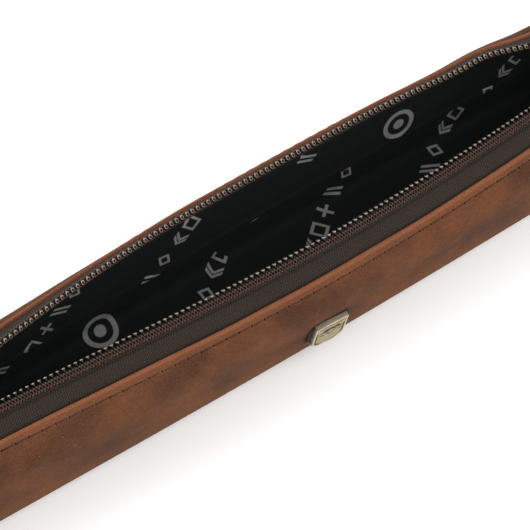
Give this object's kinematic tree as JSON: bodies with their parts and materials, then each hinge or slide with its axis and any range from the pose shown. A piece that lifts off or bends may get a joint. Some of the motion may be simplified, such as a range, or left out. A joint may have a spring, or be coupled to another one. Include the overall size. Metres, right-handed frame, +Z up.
{
  "type": "cue case",
  "caption": "Long slim soft leather cue case with a metal zip along its top, lined inside, its mouth spread open, with a shield badge on its front.",
  "frame": {"origin": "Centre of the flat resting face, midway along the length and under the closed zip line", "axes": "+X along the case from the end with the top stops towards the end with the bottom stop, +Y from the badge side to the other side, +Z up out of the mouth"},
  "size_m": [0.8008, 0.072, 0.0607],
  "materials": {
    "leather": "brown waxed pull-up leather, mottled, with darker worn patches and a fine grain",
    "hem_leather": "the same leather folded at the edge, lighter and more orange where it is stretched",
    "padding": "thin dark foam between the leather and the lining",
    "lining": "near-black woven lining with a thin grey printed pattern",
    "tape": "dark brown twill zip tape with a braided cord at its edge",
    "zip_metal": "antique brass, dark in the recesses and bright at the tips",
    "thread": "dark brown waxed sewing thread",
    "badge_metal": "antique brass, rubbed light on the raised parts and dark in the recesses",
    "hidden_metal": "plain steel, hidden between leather and lining"
  },
  "bodies": {
    "case_body": {"outer_leather": "leather", "left_end_panel": "leather", "right_end_panel": "leather", "left_zip_tab": "leather", "right_zip_tab": "leather", "floor_stiffener": "padding", "front_padding": "padding", "back_padding": "padding", "left_end_padding": "padding", "right_end_padding": "padding", "main_lining": "lining", "back_lining": "lining", "left_end_lining": "lining", "right_end_lining": "lining", "bottom_stop": "zip_metal", "left_end_stitching": "thread", "right_end_stitching": "thread", "badge": "badge_metal", "badge_prongs": "hidden_metal", "badge_washer": "hidden_metal"},
    "back_lip": {"back_hem": "hem_leather", "back_zip_tape": "tape", "back_teeth": "zip_metal", "back_hem_stitching": "thread", "back_top_stop": "zip_metal"},
    "front_lip": {"front_hem": "hem_leather", "front_zip_tape": "tape", "front_teeth": "zip_metal", "front_hem_stitching": "thread", "front_top_stop": "zip_metal"},
    "slider": {"slider_body": "zip_metal", "slider_bail": "zip_metal"},
    "pull_tab": {"pull_tab": "zip_metal"}
  },
  "joints": [
    {"name": "back_lip_turn", "type": "hinge", "parent": "case_body", "child": "back_lip", "pos_m": [0, 0.0236, 0.0296], "axis": [1, 0, 0], "range_deg": [0, 59.7], "deforming": ["back_hem", "back_zip_tape", "back_teeth", "back_hem_stitching", "back_top_stop"]},
    {"name": "front_lip_turn", "type": "hinge", "parent": "case_body", "child": "front_lip", "pos_m": [0, -0.0288, 0.0304], "axis": [1, 0, 0], "range_deg": [-50.8, 0], "deforming": ["front_hem", "front_zip_tape", "front_teeth", "front_hem_stitching", "front_top_stop"]},
    {"name": "slider_slide", "type": "slide", "parent": "case_body", "child": "slider", "axis": [1, 0, 0], "range_m": [-0.75, 0]},
    {"name": "pull_tab_swing", "type": "hinge", "parent": "slider", "child": "pull_tab", "pos_m": [0.373, 0, 0.0481], "axis": [0, 1, 0], "range_deg": [-165, 0]}
  ],
  "couplings": [
    {"joint": "front_lip_turn", "follows": "back_lip_turn", "ratio": -0.85092},
    {"joint": "slider_slide", "follows": "back_lip_turn", "m_per_rad": -0.7197}
  ]
}
